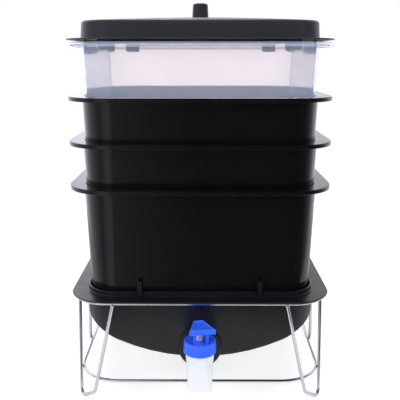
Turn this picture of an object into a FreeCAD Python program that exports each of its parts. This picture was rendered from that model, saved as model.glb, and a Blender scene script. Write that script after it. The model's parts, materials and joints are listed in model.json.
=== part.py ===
import FreeCAD, Part
import math
import os

# Wormery: a square stacking composter for worms, on a bent-wire stand.
# Millimetres, +Z up. The tower stands on the axis x = 0, y = 0 with its tap at the
# front (-Y); at the end the whole is moved so that the origin is the middle of the
# overall box, on the ground. Half widths are measured from the tower's axis.

os.makedirs("parts", exist_ok=True)

V = FreeCAD.Vector
AXIS = V(0, 0, 0)
UP = V(0, 0, 1)
ACROSS = V(1, 0, 0)
FORWARD = V(0, -1, 0)
SIDES = 4

# Cutting tools run past what they cut, and joined pieces reach into each other, by this
overrun = 1.0

# Stacking, shared by every container
tray_body = 170.0
tray_corner = 48.0
rim_reach = 20.0
pitch = 63.7
draft = 0.047
seat_clearance = 0.05
body_step = 0.5
corner_centre = tray_body - tray_corner

# Black working trays
tray_height = 165.0
tray_wall = 2.4
tray_floor = 3.0
tray_flange = tray_body + rim_reach
tray_flange_thick = 2.5
tray_lip = 6.0
tray_lip_wall = 2.2
tray_foot_radius = 5.0
tray_sink = 5.4
drain_pitch = 30.0
drain_radius = 4.5
drain_rows = 9

# Ribs that carry the tray above
rib_reach = 14.0
rib_thick = 3.0
rib_offset = 70.0

# Clear top tray
clear_body = tray_body - body_step
clear_rim_step = 1.0
clear_wall = 2.2
clear_flange = tray_flange - clear_rim_step
clear_flange_thick = 2.6
clear_lip = 6.7
clear_lip_wall = 2.2
clear_extra_depth = 11.8

# Lid
lid_body = tray_body
lid_flange = tray_flange + body_step
lid_flange_thick = 1.9
lid_draft = 0.05
lid_height = 27.0
lid_wall = 2.5
lid_crown = 10.0
lid_seat_half = 16.0
crown_roundness = 0.98
lid_edge_radius = 5.0
lid_edge_angles = (25.0, 50.0, 70.0)
lid_crown_shares = (0.95, 0.85, 0.72, 0.56, 0.38, 0.22)
vent_gap = 3.1
vent_pad_length = 24.0
vent_pad_width = 8.0
vent_pad_inset = 4.0
skirt_end_inset = 30.0
skirt_thick = 2.5
skirt_clearance = 1.0
skirt_drop = 0.8
skirt_bridge = 7.0
tooth_width = 24.0
tooth_depth = 10.6

# Knob on the lid and the screw that holds it
knob_height = 24.9
knob_base_radius = 13.25
knob_top_radius = 11.65
knob_dome = 1.6
knob_bore_depth = 12.0
screw_radius = 2.4
screw_hole_clearance = 0.1
screw_tip_gap = 1.0
screw_head_radius = 5.0
screw_head_height = 3.0
screw_slot_length = 7.0
screw_slot_width = 1.2
screw_slot_depth = 1.3

# Base bin that gathers the liquid
base_top = 165.0
base_body = tray_body - body_step
base_wall = 3.0
base_flange = tray_flange - body_step
base_flange_corner = 55.0
base_flange_thick = 2.0
trough_below_inlet = 19.0
trough_rise = 56.0
trough_slope = 1.0
trough_edge_radius = 6.0
collar_thick = 3.0
collar_clearance = 2.2
collar_height = 7.0
lug_height = 23.5
lug_width = 7.0
lug_thick = 4.0
lug_sink = 0.5
lug_offset = 86.5

# Tap boss on the front wall
boss_radius = 31.75
boss_height = 88.6
boss_depth = 10.0
boss_proud = 4.1
boss_face = base_body - draft * (base_top - boss_height) + boss_proud
trough_lowest = boss_height - trough_below_inlet
seat_margin = 2.0

# Tap: threaded inlet, shoulder, barrel and spout
tap_reach = 32.0
tap_axis = boss_face + tap_reach
tap_turn = 10.0
tap_thread_radius = 10.5
tap_thread_past_nut = 3.0
tap_bore_radius = 8.0
tap_neck_radius = 10.2
tap_shoulder_radius = 18.0
tap_shoulder_thick = 4.0
thread_clearance = 0.05
barrel_top_radius = 20.25
barrel_step_radius = 19.4
spout_top_radius = 18.6
spout_mouth_half = 16.75
spout_mouth_corner = 3.5
spout_top_roundness = 0.96
spout_bore_flare = 1.0
barrel_wall = 2.8
barrel_above_inlet = 10.4
step_below_inlet = 3.8
spout_below_inlet = 41.9
seat_below_inlet = 16.6
barrel_top = boss_height + barrel_above_inlet
barrel_step = boss_height - step_below_inlet
spout_mouth = boss_height - spout_below_inlet
seat_level = boss_height - seat_below_inlet
seat_thick = 3.0
seat_bore_radius = 9.0
washer_radius = 17.0
washer_thick = 3.0
inner_washer_radius = 15.0
inner_washer_thick = 2.5
nut_across_flats = 30.0
nut_thick = 8.0
nut_sides = 6

# Tap cap and its two posts
cap_radius = 23.25
cap_height = 17.0
cap_top = barrel_top + cap_height
cap_wall = 3.0
cap_edge_radius = 1.5
cap_plug_depth = 6.0
cap_plug_radius = 16.5
post_offset = 8.5
post_width = 4.0
post_depth = 6.0
pin_rise = 18.0
pin_height = cap_top + pin_rise
pin_forward = 9.0
pin_radius = 1.5
pin_clearance = 0.05
pin_end_inset = 4.6

# Lever
lever_front = 23.0
lever_back = 12.0
lever_front_width = 37.5
lever_back_width = 14.6
lever_below_pin = 2.0
lever_thick = 7.5
lever_underside = pin_height - lever_below_pin
lever_top = lever_underside + lever_thick
lever_corner = 2.0
lever_plate = 2.3
lever_side = 2.0
dish_margin = 3.2
dish_back_margin = 7.0
dish_depth = 0.9

# Valve stem, its cross bar and the lever's plates that lift it
stem_radius = 4.5
stem_spigot_radius = 3.0
stem_clearance = 0.1
stem_shoulder_gap = 3.4
stem_shoulder = pin_height - stem_shoulder_gap
stem_neck_radius = 2.8
stem_top_gap = 1.9
cross_bar_radius = 1.5
cross_bar_half = 7.6
bar_play = 0.5
bar_slide = 1.4
lifter_inner = 5.2
lifter_thick = 1.6
lifter_front = 3.6
lifter_length = 9.4
lifter_below = 2.2
lifter_top_gap = 1.5
window_shift = 0.4
seal_radius = 12.5
seal_thick = 4.0

# Wire stand: hoops
ring_wire_radius = 2.25
leg_wire_radius = 2.45
weld = 0.25
hoop_inset = 5.5
hoop_gap = 0.3
upper_ring = base_flange - hoop_inset
upper_ring_corner = 50.0
lower_ring = upper_ring - ring_wire_radius - leg_wire_radius - hoop_gap
lower_ring_corner = 62.0
lower_ring_height = 41.0

# Wire stand: legs. Each corner leg hangs from two points of the upper hoop, touches the
# lower hoop's bend at two angles and closes in two bends at the foot
leg_top_front_inset = 60.0
leg_top_side_inset = 71.0
leg_front_contact = 60.6
leg_side_contact = 16.3
foot_front_level = 24.5
foot_side_level = -4.57
foot_front_bend = 13.0
foot_side_bend = 9.0
hairpin_spread = 40.0
hairpin_bottom = 35.0
hairpin_bend = 18.0


def rounded_square(half, corner, z):
    """Closed wire of a square with round corners, on the tower's axis."""
    flat = half - corner
    edges = []
    for i in range(SIDES):
        turn = FreeCAD.Rotation(UP, 90.0 * i)
        a = V(half, -flat, z)
        b = V(half, flat, z)
        c = V(flat + corner * math.sqrt(0.5), flat + corner * math.sqrt(0.5), z)
        d = V(flat, half, z)
        a, b, c, d = [turn.multVec(p) for p in (a, b, c, d)]
        edges.append(Part.makeLine(a, b))
        edges.append(Part.Arc(b, c, d).toShape())
    return Part.Wire(Part.__sortEdges__(edges))


def slab(half, corner, bottom, top):
    """Straight-sided plate with round corners."""
    face = Part.Face(rounded_square(half, corner, bottom))
    return face.extrude(V(0, 0, top - bottom))


def stack_slab(half, bottom, top):
    """Plate whose round corners share the trays' corner centres."""
    return slab(half, half - corner_centre, bottom, top)


def tapered(half_top, slope, bottom, top):
    """Body that narrows downwards by slope and keeps the trays' corner centres."""
    half_bottom = half_top - slope * (top - bottom)
    low = rounded_square(half_bottom, half_bottom - corner_centre, bottom)
    high = rounded_square(half_top, half_top - corner_centre, top)
    return Part.makeLoft([low, high], True, True)


def tube(outer, inner, base, height, direction=UP):
    ring = Part.makeCylinder(outer, height, base, direction)
    return ring.cut(Part.makeCylinder(inner, height, base, direction))


def quarter_turns(shape):
    return [shape.rotated(AXIS, UP, 90.0 * i) for i in range(SIDES)]


def level_edges(shape, z):
    """Edges of the shape that lie flat at height z."""
    return [e for e in shape.Edges
            if abs(e.BoundBox.ZMin - z) < seat_clearance and abs(e.BoundBox.ZMax - z) < seat_clearance]


def ribs(inner_top, top_z, from_z, to_z, limit):
    """Two upright ribs on each wall; their flat tops carry what stands inside."""
    outer = inner_top + rib_thick
    inner = inner_top - draft * (top_z - from_z) - rib_reach
    made = []
    for side in (-1, 1):
        x = side * rib_offset - rib_thick / 2.0
        block = Part.makeBox(rib_thick, outer - inner, to_z - from_z, V(x, -outer, from_z))
        made.extend(quarter_turns(block))
    return [piece.common(limit) for piece in made]


def container(body, wall, height, top_z, flange, flange_thick, lip, lip_wall):
    """Nesting tray: tapered body, drained floor and turned-down rim."""
    bottom = top_z - height
    outer = tapered(body, draft, bottom, top_z)
    outer = outer.makeFillet(tray_foot_radius, level_edges(outer, bottom))
    rim = stack_slab(flange, top_z - lip, top_z)
    under = stack_slab(flange - lip_wall, top_z - lip, top_z - flange_thick)
    solid = outer.fuse(rim.cut(under))
    solid = solid.cut(tapered(body - wall, draft, bottom + tray_floor, top_z))
    first = -drain_pitch * (drain_rows - 1) / 2.0
    holes = []
    for i in range(drain_rows):
        for j in range(drain_rows):
            spot = V(first + drain_pitch * i, first + drain_pitch * j, bottom - overrun)
            holes.append(Part.makeCylinder(drain_radius, tray_floor + 2.0 * overrun, spot))
    return solid.cut(Part.makeCompound(holes)).removeSplitter()


def ribbed_tray(top_z):
    """Black tray with the ribs that carry the next one, a stacking pitch higher."""
    bottom = top_z - tray_height
    solid = container(tray_body, tray_wall, tray_height, top_z, tray_flange, tray_flange_thick,
                      tray_lip, tray_lip_wall)
    from_z = bottom + tray_floor / 2.0
    limit = tapered(tray_body - tray_wall / 2.0, draft, from_z, top_z)
    shelf = ribs(tray_body - tray_wall, top_z, from_z, bottom + pitch - seat_clearance, limit)
    return solid.fuse(shelf).removeSplitter()


def wire_rod(points, bends, radius):
    """Round wire along straight runs; bends gives the radius at each inner point."""
    edges = []
    start = points[0]
    for k in range(1, len(points) - 1):
        before = (points[k - 1] - points[k]).normalize()
        after = (points[k + 1] - points[k]).normalize()
        half_angle = before.getAngle(after) / 2.0
        reach = bends[k - 1] / math.tan(half_angle)
        p1 = points[k] + before * reach
        p3 = points[k] + after * reach
        inward = (before + after).normalize()
        centre = points[k] + inward * (bends[k - 1] / math.sin(half_angle))
        p2 = centre - inward * bends[k - 1]
        edges.append(Part.makeLine(start, p1))
        edges.append(Part.Arc(p1, p2, p3).toShape())
        start = p3
    edges.append(Part.makeLine(start, points[-1]))
    path = Part.Wire(edges)
    profile = Part.Wire(Part.makeCircle(radius, points[0], (points[1] - points[0]).normalize()))
    return path.makePipeShell([profile], True, True)


def wire_ring(half, corner, z, radius):
    """Square hoop of round wire with bent corners."""
    flat = half - corner
    rod = Part.makeCylinder(radius, 2.0 * flat, V(half, -flat, z), V(0, 1, 0))
    bend = Part.makeTorus(corner, radius, V(flat, flat, z), UP, -180, 180, 90)
    pieces = quarter_turns(rod) + quarter_turns(bend)
    return pieces[0].fuse(pieces[1:]).removeSplitter()


def about_tap(shape):
    """From the tap's own frame (axis at 0, 0) to its place, turned with the lever."""
    shape = shape.copy()
    shape.rotate(AXIS, UP, tap_turn)
    shape.translate(V(0, -tap_axis, 0))
    return shape


nodes = {}

# Levels of the stack
lower_top = base_top - tray_sink + tray_height
middle_top = lower_top + pitch
upper_top = middle_top + pitch
lower_bottom = lower_top - tray_height
clear_height = tray_height + clear_extra_depth
clear_top = upper_top - tray_height + pitch + clear_height
lid_flange_bottom = clear_top + vent_gap
lid_flange_top = lid_flange_bottom + lid_flange_thick
lid_edge = lid_flange_bottom + lid_height
lid_top = lid_edge + lid_crown

# The three black trays are one moulding, stacked
for name, top_z in (("lower_tray", lower_top), ("middle_tray", middle_top),
                    ("upper_tray", upper_top)):
    nodes[name] = ribbed_tray(top_z)

# The clear tray is deeper and has no ribs, since nothing stands in it
nodes["clear_tray"] = container(clear_body, clear_wall, clear_height, clear_top, clear_flange,
                                clear_flange_thick, clear_lip, clear_lip_wall)


def lid_form(inset):
    """Outside of the lid for inset 0, its hollow for an inset of one wall."""
    half = lid_body - inset
    shoulder = lid_edge - lid_edge_radius
    wall_half = half - lid_draft * (shoulder - lid_flange_bottom)
    low = rounded_square(half, half - corner_centre, lid_flange_bottom)
    high = rounded_square(wall_half, wall_half - corner_centre, shoulder)
    lower = Part.makeLoft([low, high], True, True)
    # the edge is wider than it is high inside, so that the wall thickens towards the crown
    bend = lid_edge_radius - inset / 2.0
    sections = [high]
    for angle in lid_edge_angles:
        a = math.radians(angle)
        h = wall_half - bend * (1.0 - math.cos(a))
        z = shoulder + (lid_edge_radius - inset) * math.sin(a)
        sections.append(rounded_square(h, h - corner_centre, z))
    rim_half = wall_half - bend
    round_share = 1.0 - corner_centre / rim_half
    # the crown is square at its edge and grows rounder towards the knob
    for share in lid_crown_shares:
        h = rim_half * share
        z = lid_edge - inset + lid_crown * (1.0 - share * share)
        rounder = round_share + (1.0 - round_share) * min(1.0, 2.0 * (1.0 - share))
        sections.append(rounded_square(h, h * min(crown_roundness, rounder), z))
    seat = lid_seat_half - inset
    sections.append(rounded_square(seat, seat * crown_roundness, lid_top - inset))
    return lower.fuse(Part.makeLoft(sections, True, True))


def skirt_band(outer, thick, bottom, top, near, far):
    """Part of a round-cornered ring on the front side, between near and far in x."""
    band = stack_slab(outer, bottom, top).cut(stack_slab(outer - thick, bottom, top))
    zone = Part.makeBox(far - near, outer, top - bottom, V(near, -1.5 * outer, bottom))
    return band.common(zone)


# Lid: flange, low wall and a pillowed top, hollow below
lid = lid_form(0.0).fuse(stack_slab(lid_flange, lid_flange_bottom, lid_flange_top))
lid = lid.cut(lid_form(lid_wall))

# short skirts under the lid close the vent gap, and a tooth at each end drops into the clear tray
skirt_face = clear_body - clear_wall - skirt_clearance
skirt_half = tray_body - skirt_end_inset
skirt_bottom = clear_top - skirt_drop
bridge_top = lid_flange_bottom + skirt_bridge
bridge_face = lid_body - overrun
bridge_thick = bridge_face - skirt_face + skirt_thick
skirt = [skirt_band(skirt_face, skirt_thick, skirt_bottom, bridge_top, -skirt_half, skirt_half),
         skirt_band(bridge_face, bridge_thick, lid_flange_bottom, bridge_top, -skirt_half, skirt_half)]
for left in (-skirt_half, skirt_half - tooth_width):
    skirt.append(skirt_band(skirt_face, skirt_thick, skirt_bottom - tooth_depth,
                            skirt_bottom + overrun, left, left + tooth_width))
for piece in skirt:
    lid = lid.fuse(quarter_turns(piece))

# pads under the flange keep the vent gap open on the clear tray's rim
pad_foot = clear_top + seat_clearance
pad = Part.makeBox(vent_pad_length, vent_pad_width, lid_flange_bottom - pad_foot,
                   V(-vent_pad_length / 2.0, -clear_flange + vent_pad_inset, pad_foot))
lid = lid.fuse(quarter_turns(pad))

# knob, held by one screw from inside the lid
knob_side = knob_height - knob_dome
knob = Part.makeCone(knob_base_radius, knob_top_radius, knob_side, V(0, 0, lid_top))
dome_radius = (knob_top_radius ** 2 + knob_dome ** 2) / (2.0 * knob_dome)
dome = Part.makeSphere(dome_radius, V(0, 0, lid_top + knob_height - dome_radius))
dome_zone = Part.makeCylinder(knob_top_radius, knob_dome, V(0, 0, lid_top + knob_side))
knob = knob.fuse(dome.common(dome_zone))
knob = knob.cut(Part.makeCylinder(screw_radius, knob_bore_depth, V(0, 0, lid_top)))
nodes["lid_knob"] = knob.removeSplitter()

screw_seat = lid_top - lid_wall
screw_hole = Part.makeCylinder(screw_radius + screw_hole_clearance, lid_wall + 2.0 * overrun,
                               V(0, 0, screw_seat - overrun))
nodes["lid"] = lid.cut(screw_hole).removeSplitter()

screw = Part.makeCylinder(screw_radius, lid_wall + knob_bore_depth - screw_tip_gap,
                          V(0, 0, screw_seat))
screw_head_bottom = screw_seat - screw_head_height
screw = screw.fuse(Part.makeCylinder(screw_head_radius, screw_head_height,
                                     V(0, 0, screw_head_bottom)))
for turn in (0.0, 90.0):
    slot = Part.makeBox(screw_slot_length, screw_slot_width, screw_slot_depth,
                        V(-screw_slot_length / 2.0, -screw_slot_width / 2.0, screw_head_bottom))
    screw = screw.cut(slot.rotated(AXIS, UP, turn))
nodes["knob_screw"] = screw

# Base bin: tapered walls closed below by a trough that falls towards the tap. The
# trough is part of a big cylinder that rises by trough_rise at the side walls
trough_radius = (base_body ** 2 + trough_rise ** 2) / (2.0 * trough_rise)
base_low = boss_height - boss_radius


def trough_body(inset):
    walls = tapered(base_body - inset, draft, base_low, base_top)
    axis_z = trough_lowest + trough_radius + base_body * math.tan(math.radians(trough_slope))
    roll = Part.makeCylinder(trough_radius - inset, 4.0 * base_body, V(0, -2.0 * base_body, 0),
                             V(0, 1, 0))
    roll.rotate(AXIS, ACROSS, trough_slope)
    roll.translate(V(0, 0, axis_z))
    return walls.common(roll)


base = trough_body(0.0)
trough_edges = [e for e in base.Edges if e.BoundBox.ZMax < base_top - base_flange_thick]
base = base.makeFillet(trough_edge_radius, trough_edges)
boss_back = V(0, boss_depth - boss_face, boss_height)
base = base.fuse(Part.makeCylinder(boss_radius, boss_depth, boss_back, FORWARD))
rim_bottom = base_top - base_flange_thick
rim = slab(base_flange, base_flange_corner, rim_bottom, base_top)

# a low collar and four lugs keep the lowest tray in place
collar_inner = tray_body - draft * (lower_top - base_top) + collar_clearance
collar_outer = collar_inner + collar_thick
collar_top = base_top + collar_height
base = base.fuse([rim, stack_slab(collar_outer, rim_bottom, collar_top)])
for side in (-1, 1):
    for depth in (-1, 1):
        y = depth * (collar_outer - lug_sink + lug_thick / 2.0) - lug_thick / 2.0
        base = base.fuse(Part.makeBox(lug_width, lug_thick, lug_height,
                                      V(side * lug_offset - lug_width / 2.0, y, base_top)))
base = base.cut([trough_body(base_wall), stack_slab(collar_inner, rim_bottom - overrun, collar_top)])
base = base.fuse(ribs(base_body - base_wall, base_top, base_low, lower_bottom - seat_clearance,
                      trough_body(base_wall / 2.0)))

# the wall is thick and flat inside where the tap is clamped
base = base.fuse(Part.makeCylinder(washer_radius + seat_margin, boss_depth, boss_back, FORWARD))
thread_hole_radius = tap_thread_radius + thread_clearance
base = base.cut(Part.makeCylinder(thread_hole_radius, boss_depth + 2.0 * overrun,
                                  boss_back - FORWARD * overrun, FORWARD))
nodes["base_bin"] = base.removeSplitter()

# Tap: sealing washers on both faces of the wall, and a back nut inside
inner_washer_face = boss_depth - boss_face + inner_washer_thick
nut_face = inner_washer_face + nut_thick
nodes["outer_washer"] = tube(washer_radius, thread_hole_radius, V(0, -boss_face, boss_height),
                             washer_thick, FORWARD)
nodes["inner_washer"] = tube(inner_washer_radius, thread_hole_radius,
                             V(0, inner_washer_face, boss_height), inner_washer_thick, FORWARD)
nut_corner = nut_across_flats / 2.0 / math.cos(math.pi / nut_sides)
hexagon = []
for i in range(nut_sides + 1):
    a = 2.0 * math.pi * i / nut_sides
    hexagon.append(V(nut_corner * math.cos(a), nut_face, boss_height + nut_corner * math.sin(a)))
nut = Part.Face(Part.makePolygon(hexagon)).extrude(FORWARD * nut_thick)
nodes["back_nut"] = nut.cut(Part.makeCylinder(thread_hole_radius, nut_thick,
                                              V(0, nut_face, boss_height), FORWARD))


def on_tap(z):
    """Point of the tap's upright axis."""
    return V(0, -tap_axis, z)


def inlet_rod(radius, start_y, end_y):
    """Round bar along the tap's inlet, from start_y forwards to end_y."""
    return Part.makeCylinder(radius, start_y - end_y, V(0, start_y, boss_height), FORWARD)


shoulder_back = -boss_face - washer_thick
thread_start = nut_face + tap_thread_past_nut
body = Part.makeCone(barrel_step_radius, barrel_top_radius, barrel_top - barrel_step,
                     on_tap(barrel_step))
# the spout is round under the step and nearly square, with a flat front, at its mouth
spout = Part.makeLoft([
    rounded_square(spout_mouth_half, spout_mouth_corner, spout_mouth),
    rounded_square(spout_top_radius, spout_top_radius * spout_top_roundness, barrel_step)], True, True)
body = body.fuse([
    spout.translated(on_tap(0)),
    inlet_rod(tap_shoulder_radius, shoulder_back, shoulder_back - tap_shoulder_thick),
    inlet_rod(tap_neck_radius, shoulder_back, -tap_axis),
    inlet_rod(tap_thread_radius, thread_start, shoulder_back)])
spout_bore = spout_mouth_half - barrel_wall
body = body.cut([
    Part.makeCylinder(cap_plug_radius, barrel_top - seat_level, on_tap(seat_level)),
    Part.makeCylinder(seat_bore_radius, seat_thick, on_tap(seat_level - seat_thick)),
    Part.makeCone(spout_bore, spout_bore + spout_bore_flare, seat_level - seat_thick - spout_mouth,
                  on_tap(spout_mouth)),
    inlet_rod(tap_bore_radius, thread_start, -tap_axis)])
nodes["tap_body"] = body.removeSplitter()

# Cap: disc with a plug that seats in the barrel, and two posts for the lever's pin
plug_bottom = barrel_top - cap_plug_depth
plug_radius = cap_plug_radius - thread_clearance
cap = Part.makeCylinder(cap_radius, cap_height, V(0, 0, barrel_top))
cap = cap.makeFillet(cap_edge_radius, level_edges(cap, cap_top))
cap = cap.fuse(Part.makeCylinder(plug_radius, cap_plug_depth, V(0, 0, plug_bottom)))
cap = cap.cut([
    Part.makeCylinder(plug_radius - cap_wall, cap_top - cap_wall - plug_bottom, V(0, 0, plug_bottom)),
    Part.makeCylinder(stem_radius + stem_clearance, cap_height + 2.0 * overrun,
                      V(0, 0, barrel_top - overrun))])
for side in (-1, 1):
    x = side * post_offset - post_width / 2.0
    post = Part.makeBox(post_width, post_depth, pin_height - cap_top + overrun,
                        V(x, -pin_forward - post_depth / 2.0, cap_top - overrun))
    ear = Part.makeCylinder(post_depth / 2.0, post_width, V(x, -pin_forward, pin_height), ACROSS)
    cap = cap.fuse([post, ear])


def pin_bar(radius, half):
    """Round bar along the lever's hinge line."""
    return Part.makeCylinder(radius, 2.0 * half, V(-half, -pin_forward, pin_height), ACROSS)


pin_half = lever_front_width / 2.0 - pin_end_inset
cap = cap.cut(pin_bar(pin_radius + pin_clearance / 2.0, pin_half))
nodes["tap_cap"] = about_tap(cap.removeSplitter())
nodes["lever_pin"] = about_tap(pin_bar(pin_radius, pin_half))


def wedge(side_inset, front_inset, back_inset, low, high):
    """The lever's plan, wide in front, drawn in by the insets."""
    f = lever_front - front_inset
    b = lever_back - back_inset
    lean = (lever_front_width - lever_back_width) / 2.0 / (lever_front + lever_back)
    wf = lever_front_width / 2.0 - side_inset - lean * front_inset
    wb = lever_back_width / 2.0 - side_inset + lean * back_inset
    corners = [V(-wf, -f, low), V(wf, -f, low), V(wb, b, low), V(-wb, b, low), V(-wf, -f, low)]
    return Part.Face(Part.makePolygon(corners)).extrude(V(0, 0, high - low))


lever = wedge(0.0, 0.0, 0.0, lever_underside, lever_top)
upright = [e for e in lever.Edges if e.BoundBox.ZLength > lever_thick / 2.0]
lever = lever.makeFillet(lever_corner, upright)
lever = lever.cut([
    wedge(lever_side, lever_side, lever_side, lever_underside - overrun, lever_top - lever_plate),
    wedge(dish_margin, dish_margin, dish_back_margin, lever_top - dish_depth, lever_top + overrun)])

# two plates inside the lever hold the stem's cross bar in slots
window_low = pin_height - cross_bar_radius - bar_play
window_height = 2.0 * (cross_bar_radius + bar_play)
window_length = 2.0 * (cross_bar_radius + bar_slide)
lifter_bottom = window_low - lifter_below
for x in (-lifter_inner - lifter_thick, lifter_inner):
    plate = Part.makeBox(lifter_thick, lifter_length, lever_top - lifter_top_gap - lifter_bottom,
                         V(x, -lifter_front, lifter_bottom))
    window = Part.makeBox(lifter_thick, window_length, window_height,
                          V(x, window_shift - window_length / 2.0, window_low))
    lever = lever.fuse(plate.cut(window))
lever = lever.cut(pin_bar(pin_radius + pin_clearance, lever_front_width))
nodes["tap_lever"] = about_tap(lever.removeSplitter())

# Valve: seal on the seat, stem through the cap, cross bar in the lever's slots
seal_bottom = seat_level + seat_clearance
nodes["valve_seal"] = about_tap(tube(seal_radius, stem_spigot_radius + thread_clearance,
                                     V(0, 0, seal_bottom), seal_thick))
stem_foot = seal_bottom + seal_thick
stem = Part.makeCylinder(stem_radius, stem_shoulder - stem_foot, V(0, 0, stem_foot))
stem = stem.fuse([
    Part.makeCylinder(stem_spigot_radius, seal_thick, V(0, 0, seal_bottom)),
    Part.makeCylinder(stem_neck_radius, pin_height + stem_top_gap - stem_shoulder,
                      V(0, 0, stem_shoulder)),
    Part.makeCylinder(cross_bar_radius, 2.0 * cross_bar_half, V(-cross_bar_half, 0, pin_height),
                      ACROSS)])
nodes["valve_stem"] = about_tap(stem.removeSplitter())

# Wire stand: two hoops, four corner legs and two side hairpins
upper_ring_height = rim_bottom - seat_clearance - ring_wire_radius
nodes["upper_ring"] = wire_ring(upper_ring, upper_ring_corner, upper_ring_height, ring_wire_radius)
nodes["lower_ring"] = wire_ring(lower_ring, lower_ring_corner, lower_ring_height, ring_wire_radius)
leg_top = upper_ring_height - ring_wire_radius + weld


def leg_run(top, contact, level):
    """End of a straight run from top, past the lower hoop's bend, down to a level."""
    centre = lower_ring - lower_ring_corner
    reach = lower_ring_corner + ring_wire_radius + leg_wire_radius - weld
    a = math.radians(contact)
    touch = V(centre + reach * math.cos(a), centre + reach * math.sin(a), lower_ring_height)
    return top + (touch - top) * ((top.z - level) / (top.z - lower_ring_height))


def corner_leg(sx, sy):
    front_top = V(upper_ring - leg_top_front_inset, upper_ring, leg_top)
    side_top = V(upper_ring, upper_ring - leg_top_side_inset, leg_top)
    run = [front_top, leg_run(front_top, leg_front_contact, foot_front_level),
           leg_run(side_top, leg_side_contact, foot_side_level), side_top]
    run = [V(p.x * sx, p.y * sy, p.z) for p in run]
    return wire_rod(run, [foot_front_bend, foot_side_bend], leg_wire_radius)


for name, sx, sy in (("leg_front_left", -1, -1), ("leg_front_right", 1, -1),
                     ("leg_back_left", -1, 1), ("leg_back_right", 1, 1)):
    nodes[name] = corner_leg(sx, sy)
hairpin_x = lower_ring + ring_wire_radius + leg_wire_radius - weld
for name, side in (("hairpin_left", -1), ("hairpin_right", 1)):
    x = side * hairpin_x
    run = [V(x, -hairpin_spread, leg_top), V(x, -hairpin_spread, hairpin_bottom),
           V(x, hairpin_spread, hairpin_bottom), V(x, hairpin_spread, leg_top)]
    nodes[name] = wire_rod(run, [hairpin_bend, hairpin_bend], leg_wire_radius)

# Everything moves together so that the box's bottom centre is the origin
boxes = [shape.optimalBoundingBox(False, False) for shape in nodes.values()]
shift = V(-(min(b.XMin for b in boxes) + max(b.XMax for b in boxes)) / 2.0,
          -(min(b.YMin for b in boxes) + max(b.YMax for b in boxes)) / 2.0,
          -min(b.ZMin for b in boxes))
for name, shape in nodes.items():
    if len(shape.Solids) != 1 or not shape.isValid():
        raise RuntimeError(name + " is not one sound solid")
    piece = shape.Solids[0].copy()
    piece.translate(shift)
    piece.exportStep("parts/" + name + ".step")
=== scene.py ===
import bpy
import bmesh
import json
import math
from bpy.props import FloatProperty, FloatVectorProperty, IntProperty, PointerProperty
from bpy.types import Operator, Panel, PropertyGroup
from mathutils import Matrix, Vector

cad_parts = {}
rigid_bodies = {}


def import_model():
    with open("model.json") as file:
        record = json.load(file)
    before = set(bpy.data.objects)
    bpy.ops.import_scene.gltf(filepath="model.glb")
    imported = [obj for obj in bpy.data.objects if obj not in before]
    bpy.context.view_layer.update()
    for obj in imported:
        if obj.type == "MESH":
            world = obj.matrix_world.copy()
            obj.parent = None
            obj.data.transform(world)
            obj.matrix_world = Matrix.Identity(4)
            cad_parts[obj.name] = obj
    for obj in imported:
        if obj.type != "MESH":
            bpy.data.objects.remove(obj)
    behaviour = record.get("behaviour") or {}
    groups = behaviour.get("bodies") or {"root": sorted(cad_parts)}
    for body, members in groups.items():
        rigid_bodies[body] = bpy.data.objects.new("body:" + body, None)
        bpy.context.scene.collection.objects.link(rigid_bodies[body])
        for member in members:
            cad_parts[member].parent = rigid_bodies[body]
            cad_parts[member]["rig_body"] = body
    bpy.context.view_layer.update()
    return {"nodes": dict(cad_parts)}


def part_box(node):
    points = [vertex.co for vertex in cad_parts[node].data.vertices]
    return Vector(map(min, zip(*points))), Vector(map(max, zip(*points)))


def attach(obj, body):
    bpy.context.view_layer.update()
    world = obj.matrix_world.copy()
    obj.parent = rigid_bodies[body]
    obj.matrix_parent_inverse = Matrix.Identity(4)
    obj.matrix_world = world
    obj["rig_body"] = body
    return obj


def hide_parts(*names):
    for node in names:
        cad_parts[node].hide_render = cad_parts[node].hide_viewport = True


bl_info = {
    "name": "Stacking tray wormery",
    "version": (1, 0, 0),
    "blender": (4, 5, 0),
    "location": "View3D > Sidebar > Wormery",
    "description": "Builds the trays, lid, bin, tap and wire stand of a worm composter",
    "category": "Object",
}

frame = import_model()
NODES = frame["nodes"]
BODY_OF = {n: o["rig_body"] for n, o in NODES.items()}
MATERIALS = {}
MM = 0.001


def node_box(name):
    """A node's lowest and highest corner in mm."""
    low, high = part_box(name)
    return low / MM, high / MM


# Sizes are in millimetres. Places come from the frame, in tower coordinates: x from the middle,
# y from the tower's axis, and z from the floor.
UPPER_LOW, UPPER_HIGH = node_box("upper_tray")
AXIS_Y = (UPPER_LOW.y + UPPER_HIGH.y) / 2.0
CORNER_CENTRE = 122.0
DRAFT = 0.047
LIP_WALL = 2.2
RIB_REACH, RIB_THICK, RIB_OFFSET = 14.0, 3.0, 70.0
REST_GAP = 0.05
CLEAR_BODY, CLEAR_WALL = 169.5, 2.2
BIN_BODY, BIN_WALL, BIN_TOP = 169.5, 3.0, 165.0
BOSS_Z = 88.6


def linear(hex_code):
    """sRGB hex to the linear colour that a shader socket takes."""
    out = []
    for i in (0, 2, 4):
        c = int(hex_code[i:i + 2], 16) / 255.0
        out.append(c / 12.92 if c <= 0.04045 else ((c + 0.055) / 1.055) ** 2.4)
    return (out[0], out[1], out[2], 1.0)


def length(name, text, default, least=0.5):
    """A size that a user may change."""
    return FloatProperty(name=name, description=text + ", mm", default=default, min=least)


def tone(name, text, hex_code):
    """The darker tone of a plastic that a user may change."""
    return FloatVectorProperty(name=name, description=text, subtype="COLOR", size=3, min=0.0,
                               max=1.0, default=linear(hex_code)[:3])


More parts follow.
